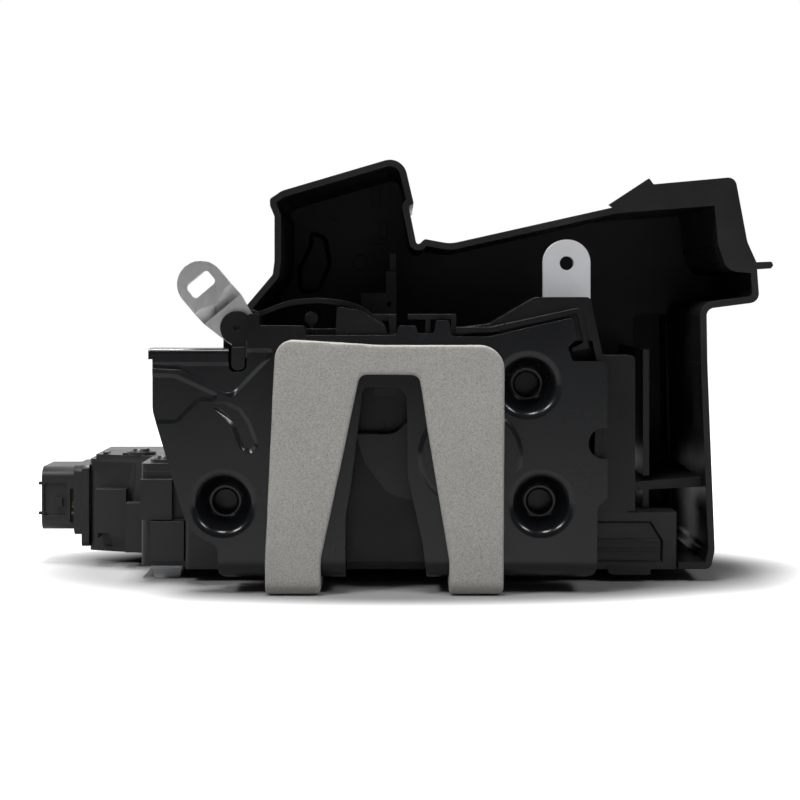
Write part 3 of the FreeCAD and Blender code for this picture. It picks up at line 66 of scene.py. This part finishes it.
def make_camera():
    """A level camera in front of the face plate."""
    data = bpy.data.cameras.new("camera")
    data.lens = CAMERA_LENS
    data.sensor_width = CAMERA_SENSOR
    data.shift_y = CAMERA_SHIFT_Y
    data.clip_start = CLIP_START
    data.clip_end = CLIP_END
    camera = bpy.data.objects.new("camera", data)
    camera.location = CAMERA_PLACE
    camera.rotation_euler = (LEVEL_VIEW, 0.0, 0.0)
    bpy.context.scene.collection.objects.link(camera)
    bpy.context.scene.camera = camera


make_camera()


# Node helpers

SOFT_EDGE_SAMPLES = 4


class Nodes:
    """Adds nodes to one material or world and joins them."""

    def __init__(self, owner):
        owner.use_nodes = True
        self.tree = owner.node_tree
        self.tree.nodes.clear()

    def add(self, kind, **settings):
        node = self.tree.nodes.new(kind)
        for key, value in settings.items():
            setattr(node, key, value)
        return node

    def link(self, source, target):
        self.tree.links.new(source, target)

    def position(self):
        """Object coordinates, which stay with the piece when it moves."""
        return self.add("ShaderNodeTexCoord").outputs["Object"]

    def noise(self, where, scale, detail=4.0, roughness=0.55):
        node = self.add("ShaderNodeTexNoise")
        node.inputs["Scale"].default_value = scale
        node.inputs["Detail"].default_value = detail
        node.inputs["Roughness"].default_value = roughness
        self.link(where, node.inputs["Vector"])
        return node.outputs["Fac"]

    def stretch(self, where, scale):
        node = self.add("ShaderNodeMapping")
        node.inputs["Scale"].default_value = scale
        self.link(where, node.inputs["Vector"])
        return node.outputs["Vector"]

    def spread(self, value, low, high, start=0.3, end=0.7):
        """The value's range from start to end, spread from low to high."""
        node = self.add("ShaderNodeMapRange")
        node.inputs["From Min"].default_value = start
        node.inputs["From Max"].default_value = end
        node.inputs["To Min"].default_value = low
        node.inputs["To Max"].default_value = high
        self.link(value, node.inputs["Value"])
        return node.outputs["Result"]

    def tint(self, value, dark, light, start=0.35, end=0.65):
        """A colour between two as the value goes from start to end."""
        ramp = self.add("ShaderNodeValToRGB")
        ramp.color_ramp.elements[0].position = start
        ramp.color_ramp.elements[0].color = (*dark, 1.0)
        ramp.color_ramp.elements[1].position = end
        ramp.color_ramp.elements[1].color = (*light, 1.0)
        self.link(value, ramp.inputs["Fac"])
        return ramp.outputs["Color"]

    def bump(self, height, distance, strength=1.0, under=None):
        """Raised and sunk detail, distance in millimetres, on top of the normals under it."""
        node = self.add("ShaderNodeBump")
        node.inputs["Strength"].default_value = strength
        node.inputs["Distance"].default_value = distance * MM
        self.link(height, node.inputs["Height"])
        if under:
            self.link(under, node.inputs["Normal"])
        return node.outputs["Normal"]

    def multiply(self, first, second):
        """Two colours multiplied."""
        node = self.add("ShaderNodeMix", data_type="RGBA", blend_type="MULTIPLY")
        node.inputs["Factor"].default_value = 1.0
        self.link(first, node.inputs["A"])
        self.link(second, node.inputs["B"])
        return node.outputs["Result"]

    def combine(self, operation, first, second):
        """One number from two."""
        node = self.add("ShaderNodeMath", operation=operation)
        self.link(first, node.inputs[0])
        self.link(second, node.inputs[1])
        return node.outputs["Value"]

    def soft_edge(self, radius):
        """Normals that turn over every edge, as the small radii of moulding and pressing do."""
        node = self.add("ShaderNodeBevel", samples=SOFT_EDGE_SAMPLES)
        node.inputs["Radius"].default_value = radius * MM
        return node.outputs["Normal"]

    def shader(self, **sockets):
        node = self.add("ShaderNodeBsdfPrincipled")
        for key, value in sockets.items():
            node.inputs[key.replace("_", " ")].default_value = value
        output = self.add("ShaderNodeOutputMaterial")
        self.link(node.outputs["BSDF"], output.inputs["Surface"])
        return node


def shade(colour, factor):
    return tuple(channel * factor for channel in colour)


# Materials

WHITE = (1.0, 1.0, 1.0)
BLACK = (0.0088, 0.0088, 0.0095)
MOULDED_EDGE = 0.25
PRESSED_EDGE = 0.25
METAL_EDGE = 0.15
NYLON_DEPTH = 1.2
HOLE_START = 0.24
HOLE_END = 0.31


def moulded_plastic(name, colour, roughness, grain=2600.0, grain_depth=0.012, specular=0.35):
    """Moulded plastic: a fine spark-eroded grain over soft flow mottling."""
    material = bpy.data.materials.new(name)
    make = Nodes(material)
    where = make.position()
    mottle = make.noise(where, scale=55.0, detail=5.0)
    fine = make.noise(where, scale=grain, detail=2.0)
    shader = make.shader(Specular_IOR_Level=specular)
    tone = make.tint(mottle, dark=shade(colour, 0.8), light=shade(colour, 1.25))
    make.link(tone, shader.inputs["Base Color"])
    gloss = make.spread(mottle, low=roughness - 0.06, high=roughness + 0.08)
    make.link(gloss, shader.inputs["Roughness"])
    relief = make.bump(fine, grain_depth, strength=0.5, under=make.soft_edge(MOULDED_EDGE))
    make.link(relief, shader.inputs["Normal"])
    return material


def coated_steel(name, colour, roughness):
    """Black-coated pressed steel with faint orange peel and a few rubbed patches."""
    material = bpy.data.materials.new(name)
    make = Nodes(material)
    where = make.position()
    rubbed = make.noise(where, scale=38.0, detail=6.0, roughness=0.62)
    peel = make.noise(where, scale=900.0, detail=2.0)
    waves = make.noise(where, scale=45.0, detail=1.0)
    shader = make.shader(Specular_IOR_Level=0.32, Coat_Weight=0.3, Coat_Roughness=0.12)
    tone = make.tint(rubbed, dark=shade(colour, 0.85), light=shade(colour, 1.3))
    make.link(tone, shader.inputs["Base Color"])
    gloss = make.spread(rubbed, low=roughness - 0.05, high=roughness + 0.07)
    make.link(gloss, shader.inputs["Roughness"])
    wavy = make.bump(waves, distance=0.05, strength=0.35, under=make.soft_edge(PRESSED_EDGE))
    relief = make.bump(peel, distance=0.006, strength=0.4, under=wavy)
    make.link(relief, shader.inputs["Normal"])
    return material


def plated_metal(name, colour, roughness, direction=(1.0, 1.0, 30.0), streak=0.05):
    """Plated or turned metal with fine marks along one direction."""
    material = bpy.data.materials.new(name)
    make = Nodes(material)
    where = make.position()
    marks = make.noise(make.stretch(where, direction), scale=90.0, detail=6.0, roughness=0.65)
    cloud = make.noise(where, scale=60.0, detail=4.0)
    shader = make.shader(Metallic=1.0)
    tone = make.tint(cloud, dark=shade(colour, 0.82), light=colour)
    make.link(tone, shader.inputs["Base Color"])
    gloss = make.spread(marks, low=roughness - streak, high=roughness + streak * 2)
    make.link(gloss, shader.inputs["Roughness"])
    relief = make.bump(marks, distance=0.01, strength=0.35, under=make.soft_edge(METAL_EDGE))
    make.link(relief, shader.inputs["Normal"])
    return material


def natural_nylon(name, colour, roughness):
    """Unfilled nylon: slightly milky, with a soft sheen."""
    material = bpy.data.materials.new(name)
    make = Nodes(material)
    where = make.position()
    cloud = make.noise(where, scale=70.0, detail=3.0)
    fine = make.noise(where, scale=1500.0, detail=2.0)
    shader = make.shader(
        Specular_IOR_Level=0.4, Subsurface_Weight=0.12, Subsurface_Scale=NYLON_DEPTH * MM)
    tone = make.tint(cloud, dark=shade(colour, 0.93), light=colour)
    make.link(tone, shader.inputs["Base Color"])
    gloss = make.spread(cloud, low=roughness - 0.05, high=roughness + 0.06)
    make.link(gloss, shader.inputs["Roughness"])
    relief = make.bump(fine, distance=0.008, strength=0.4, under=make.soft_edge(MOULDED_EDGE))
    make.link(relief, shader.inputs["Normal"])
    return material


def cell_foam(name, colour):
    """Closed-cell foam: a fine pale grain, with a pin hole here and there, sunk and darkened by painted
    shade.
    """
    material = bpy.data.materials.new(name)
    make = Nodes(material)
    where = make.position()
    holes = make.noise(where, scale=2100.0, detail=1.0)
    speck = make.noise(where, scale=3400.0, detail=2.0, roughness=0.7)
    cloud = make.noise(where, scale=80.0, detail=4.0)
    shader = make.shader(Specular_IOR_Level=0.15, Sheen_Weight=0.08, Sheen_Roughness=0.6)
    grains = make.tint(
        speck, dark=shade(colour, 0.78), light=shade(colour, 1.16), start=0.36, end=0.66)
    # Painted shade: the pin holes' colour is darkened to stand for the shade inside them
    painted_pit_shade = make.tint(holes, dark=shade(WHITE, 0.66), light=WHITE, start=HOLE_START, end=HOLE_END)
    soft = make.tint(cloud, dark=shade(WHITE, 0.95), light=WHITE)
    tone = make.multiply(make.multiply(grains, painted_pit_shade), soft)
    make.link(tone, shader.inputs["Base Color"])
    gloss = make.spread(speck, low=0.82, high=0.95)
    make.link(gloss, shader.inputs["Roughness"])
    grain = make.bump(speck, distance=0.03, strength=0.5)
    depth = make.spread(holes, low=0.0, high=1.0, start=HOLE_START, end=HOLE_END)
    relief = make.bump(depth, distance=0.05, strength=0.6, under=grain)
    make.link(relief, shader.inputs["Normal"])
    return material


MATERIALS = {
    "plate_paint": coated_steel("plate_paint", (0.005, 0.0054, 0.0065), roughness=0.24),
    "foam": cell_foam("foam", (0.425, 0.412, 0.386)),
    "case_plastic": moulded_plastic(
        "case_plastic", shade(BLACK, 0.75), roughness=0.3, specular=0.36),
    "housing_plastic": moulded_plastic(
        "housing_plastic", shade(BLACK, 1.9), roughness=0.4, specular=0.45),
    "connector_plastic": moulded_plastic(
        "connector_plastic", shade(BLACK, 2.0), roughness=0.4, specular=0.42),
    "shroud_plastic": moulded_plastic(
        "shroud_plastic", shade(BLACK, 1.6), roughness=0.38, specular=0.36),
    "mould_plastic": moulded_plastic("mould_plastic", shade(BLACK, 2.1), roughness=0.52),
    "zinc_plate": plated_metal(
        "zinc_plate", (0.50, 0.50, 0.49), roughness=0.36, direction=(30.0, 1.0, 1.0)),
    "zinc_lever": plated_metal(
        "zinc_lever", (0.9, 0.9, 0.91), roughness=0.32, direction=(14.0, 1.0, 3.0)),
    "hard_steel": plated_metal("hard_steel", (0.30, 0.30, 0.31), roughness=0.38),
    "pin_steel": plated_metal(
        "pin_steel", (0.42, 0.42, 0.43), roughness=0.3, direction=(20.0, 1.0, 20.0)),
    "spring_wire": plated_metal("spring_wire", (0.35, 0.35, 0.36), roughness=0.28),
    "motor_can": plated_metal(
        "motor_can", (0.52, 0.52, 0.53), roughness=0.3, direction=(1.0, 20.0, 20.0)),
    "terminal_metal": plated_metal(
        "terminal_metal", (0.66, 0.52, 0.30), roughness=0.28, direction=(1.0, 20.0, 20.0)),
    "screw_steel": plated_metal("screw_steel", (0.16, 0.16, 0.17), roughness=0.36),
    "bumper_rubber": moulded_plastic(
        "bumper_rubber", BLACK, roughness=0.72, grain=1400.0, grain_depth=0.03, specular=0.25),
    "white_nylon": natural_nylon("white_nylon", (0.68, 0.70, 0.72), roughness=0.38),
    "gear_nylon": natural_nylon("gear_nylon", (0.55, 0.53, 0.47), roughness=0.4),
}


def dress(piece, slot_name):
    """Gives a piece the finish of one of the record's material slots."""
    piece.data.materials.clear()
    piece.data.materials.append(MATERIALS[slot_name])


# Rounded edges on the solids

EDGE_ANGLE = math.radians(52.0)
EDGE_SEGMENTS = 2
WELD_DISTANCE = 0.004 * MM
EDGE_RADIUS = {
    "latch_case": 0.22,
    "shroud": 0.3,
    "actuator_housing": 0.3,
    "actuator_cover": 0.25,
    "connector_shell": 0.25,
    "lock_lever": 0.3,
    "pivot_cap": 0.35,
    "foot_clip": 0.3,
    "shroud_bracket": 0.2,
}
SMALL_RADIUS = 0.12
# The fine bends of these two stay as pressed, and the finish alone softens their edges
AS_PRESSED = ("face_plate", "outside_release_lever")


def round_edges(node, radius):
    """Joins the solid's face meshes and rounds its sharp edges, as moulding and pressing leave them."""
    weld = node.modifiers.new("weld", "WELD")
    weld.merge_threshold = WELD_DISTANCE
    bevel = node.modifiers.new("edges", "BEVEL")
    bevel.width = radius * MM
    bevel.segments = EDGE_SEGMENTS
    bevel.limit_method = "ANGLE"
    bevel.angle_limit = EDGE_ANGLE
    bevel.harden_normals = True
    bevel.use_clamp_overlap = True


slots = {row["node"]: row["material_slot"] for row in frame["record"]["subparts"]}
for name, node in nodes.items():
    dress(node, slots[name])
    if name not in AS_PRESSED:
        round_edges(node, EDGE_RADIUS.get(name, SMALL_RADIUS))


# Foam seal

FOAM_VOXEL = 0.5
FOAM_SMOOTHING = 4
FOAM_SMOOTH_FACTOR = 0.6
FOAM_UNEVEN = 0.05
FOAM_WAVES = 160.0


def linked(mesh, name):
    piece = bpy.data.objects.new(name, mesh)
    bpy.context.scene.collection.objects.link(piece)
    return piece


def apply_all(piece):
    """Turns a piece's modifiers into its mesh."""
    graph = bpy.context.evaluated_depsgraph_get()
    done = bpy.data.meshes.new_from_object(piece.evaluated_get(graph))
    piece.modifiers.clear()
    piece.data = done


def make_foam():
    """The foam's cut shape with its soft, slightly uneven edges."""
    seal = linked(nodes["foam_seal"].data.copy(), "foam_strip")
    remesh = seal.modifiers.new("remesh", "REMESH")
    remesh.mode = "VOXEL"
    remesh.voxel_size = FOAM_VOXEL * MM
    smooth = seal.modifiers.new("smooth", "SMOOTH")
    smooth.iterations = FOAM_SMOOTHING
    smooth.factor = FOAM_SMOOTH_FACTOR
    apply_all(seal)
    for vertex in seal.data.vertices:
        wave = noise.noise(vertex.co * FOAM_WAVES)
        vertex.co += vertex.normal * (wave * FOAM_UNEVEN - FOAM_UNEVEN) * MM
    seal.data.shade_smooth()
    dress(seal, "foam")
    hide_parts("foam_seal")
    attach(seal, "base")


make_foam()


# Springs as real coils of wire

CLAW_WIRE = 1.1
PAWL_WIRE = 0.9
COIL_TURNS = 2.6
STEPS_PER_TURN = 24
WIRE_ROUNDNESS = 4
CURVE_ORDER = 3


def make_spring(name, node_name, wire, turns):
    """A helix of wire in the place of the solid that stands for it."""
    low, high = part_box(node_name)
    centre = (low + high) / 2
    radius = (high.x - low.x) / 2 - wire * MM / 2
    start = low.y + wire * MM / 2
    travel = high.y - low.y - wire * MM
    curve = bpy.data.curves.new(name, "CURVE")
    curve.dimensions = "3D"
    curve.bevel_depth = wire * MM / 2
    curve.bevel_resolution = WIRE_ROUNDNESS
    curve.use_fill_caps = True
    steps = int(turns * STEPS_PER_TURN)
    spline = curve.splines.new("NURBS")
    spline.points.add(steps)
    for i, point in enumerate(spline.points):
        angle = math.tau * turns * i / steps
        x = centre.x + radius * math.cos(angle)
        y = start + travel * i / steps
        z = centre.z + radius * math.sin(angle)
        point.co = (x, y, z, 1.0)
    spline.order_u = CURVE_ORDER
    spline.use_endpoint_u = True
    spring = linked(curve, name)
    dress(spring, "spring_wire")
    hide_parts(node_name)
    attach(spring, "base")


make_spring("claw_coil", "claw_spring", CLAW_WIRE, COIL_TURNS)
make_spring("pawl_coil", "pawl_spring", PAWL_WIRE, COIL_TURNS)


# Floor, background and light

FLOOR_SIZE = 6.0
FLOOR_COLOUR = (0.36, 0.36, 0.36, 1.0)
FLOOR_GLOW = 1.0
# An ellipse in millimetres, inside which the floor takes the object's shadow. The floor's glow is
# painted light: nil inside the ellipse, a painted shade around the object, and rising to white outside
# it
SHADE_CENTRE = (6.0, 40.0)
SHADE_REACH = (84.0, 50.0)
SHADE_START = 0.88
SHADE_END = 1.3
# How white the sweep looks in gloss, from the front to the back
FRONT_LEVEL = 0.08
BACKGROUND_LEVEL = 1.0
FLOOR_SWEEP_END = 0.3
WORLD_SWEEP_END = 0.8
LAMPS = (
    ("overhead_box", (-0.05, 0.26, 0.8), 0.3, 10.0),
    ("front_box", (-0.06, -0.2, 0.75), 0.2, 2.2),
    ("left_box", (-0.6, -0.5, 0.75), 0.25, 4.2),
    ("right_box", (0.65, -0.5, 0.7), 0.25, 2.8),
)


def seen_directly(make):
    """The light path, and one for the rays that show the background itself."""
    path = make.add("ShaderNodeLightPath")
    camera_ray = path.outputs["Is Camera Ray"]
    transmission_ray = path.outputs["Is Transmission Ray"]
    return path, make.combine("MAXIMUM", camera_ray, transmission_ray)


def make_floor():
    """A white floor: it takes the shadow close to the object, and a painted glow turns it pure white
    away from it, so its darker ring round the object is painted shade as well as real shadow.
    """
    mesh = bpy.data.meshes.new("floor")
    half = FLOOR_SIZE / 2
    corners = [(-half, -half, 0.0), (half, -half, 0.0), (half, half, 0.0), (-half, half, 0.0)]
    mesh.from_pydata(corners, [], [(0, 1, 2, 3)])
    floor = linked(mesh, "floor")
    floor.location.z = FLOOR_Z
    material = bpy.data.materials.new("floor")
    make = Nodes(material)
    path, seen = seen_directly(make)
    where = make.position()
    centre_x, centre_y = SHADE_CENTRE
    reach_x, reach_y = SHADE_REACH
    offset = make.add("ShaderNodeMapping")
    offset.inputs["Location"].default_value = (-centre_x / reach_x, -centre_y / reach_y, 0.0)
    offset.inputs["Scale"].default_value = (1 / (reach_x * MM), 1 / (reach_y * MM), 0.0)
    make.link(where, offset.inputs["Vector"])
    distance = make.add("ShaderNodeVectorMath", operation="LENGTH")
    make.link(offset.outputs["Vector"], distance.inputs[0])
    # Painted light: the floor's glow, nil near the object and rising away from it
    painted_glow_falloff = make.add("ShaderNodeMapRange", interpolation_type="SMOOTHSTEP")
    painted_glow_falloff.inputs["From Min"].default_value = SHADE_START
    painted_glow_falloff.inputs["From Max"].default_value = SHADE_END
    painted_glow_falloff.inputs["To Max"].default_value = FLOOR_GLOW
    make.link(distance.outputs["Value"], painted_glow_falloff.inputs["Value"])
    # In gloss only the floor behind the object is that white: a painted reflection, a glow that only
    # reflections see
    side = make.add("ShaderNodeSeparateXYZ")
    make.link(where, side.inputs["Vector"])
    behind = make.spread(
        side.outputs["Y"], low=FRONT_LEVEL, high=1.0, start=0.0, end=FLOOR_SWEEP_END)
    in_gloss = make.combine("MULTIPLY", path.outputs["Is Glossy Ray"], behind)
    either = make.combine("MAXIMUM", seen, in_gloss)
    glow = make.add("ShaderNodeEmission")
    strength = make.combine("MULTIPLY", either, painted_glow_falloff.outputs["Result"])
    make.link(strength, glow.inputs["Strength"])
    matt = make.add("ShaderNodeBsdfDiffuse")
    matt.inputs["Color"].default_value = FLOOR_COLOUR
    both = make.add("ShaderNodeAddShader")
    make.link(glow.outputs["Emission"], both.inputs[0])
    make.link(matt.outputs["BSDF"], both.inputs[1])
    output = make.add("ShaderNodeOutputMaterial")
    make.link(both.outputs["Shader"], output.inputs["Surface"])
    mesh.materials.append(material)


def make_world():
    """A white sweep behind the object, and a dim room in front of it."""
    world = bpy.data.worlds.new("studio")
    bpy.context.scene.world = world
    make = Nodes(world)
    path, seen = seen_directly(make)
    direction = make.add("ShaderNodeSeparateXYZ")
    make.link(make.add("ShaderNodeTexCoord").outputs["Generated"], direction.inputs["Vector"])
    sweep = make.spread(
        direction.outputs["Y"], low=FRONT_LEVEL, high=BACKGROUND_LEVEL, start=0.0, end=WORLD_SWEEP_END)
    level = make.add("ShaderNodeMix", data_type="FLOAT")
    level.inputs["A"].default_value = FRONT_LEVEL
    make.link(path.outputs["Is Glossy Ray"], level.inputs["Factor"])
    make.link(sweep, level.inputs["B"])
    shown = make.combine("MAXIMUM", level.outputs["Result"], seen)
    background = make.add("ShaderNodeBackground")
    background.inputs["Color"].default_value = (*WHITE, 1.0)
    make.link(shown, background.inputs["Strength"])
    output = make.add("ShaderNodeOutputWorld")
    make.link(background.outputs["Background"], output.inputs["Surface"])


def make_lamp(name, place, size, power):
    """A square soft box that faces the object."""
    data = bpy.data.lights.new(name, "AREA")
    data.shape = "SQUARE"
    data.size = size
    data.energy = power
    lamp = bpy.data.objects.new(name, data)
    lamp.location = place
    lamp.rotation_mode = "QUATERNION"
    lamp.rotation_quaternion = (-Vector(place)).to_track_quat("-Z", "Y")
    bpy.context.scene.collection.objects.link(lamp)


make_floor()
make_world()
for lamp_row in LAMPS:
    make_lamp(*lamp_row)

bpy.context.scene.view_settings.view_transform = "Standard"
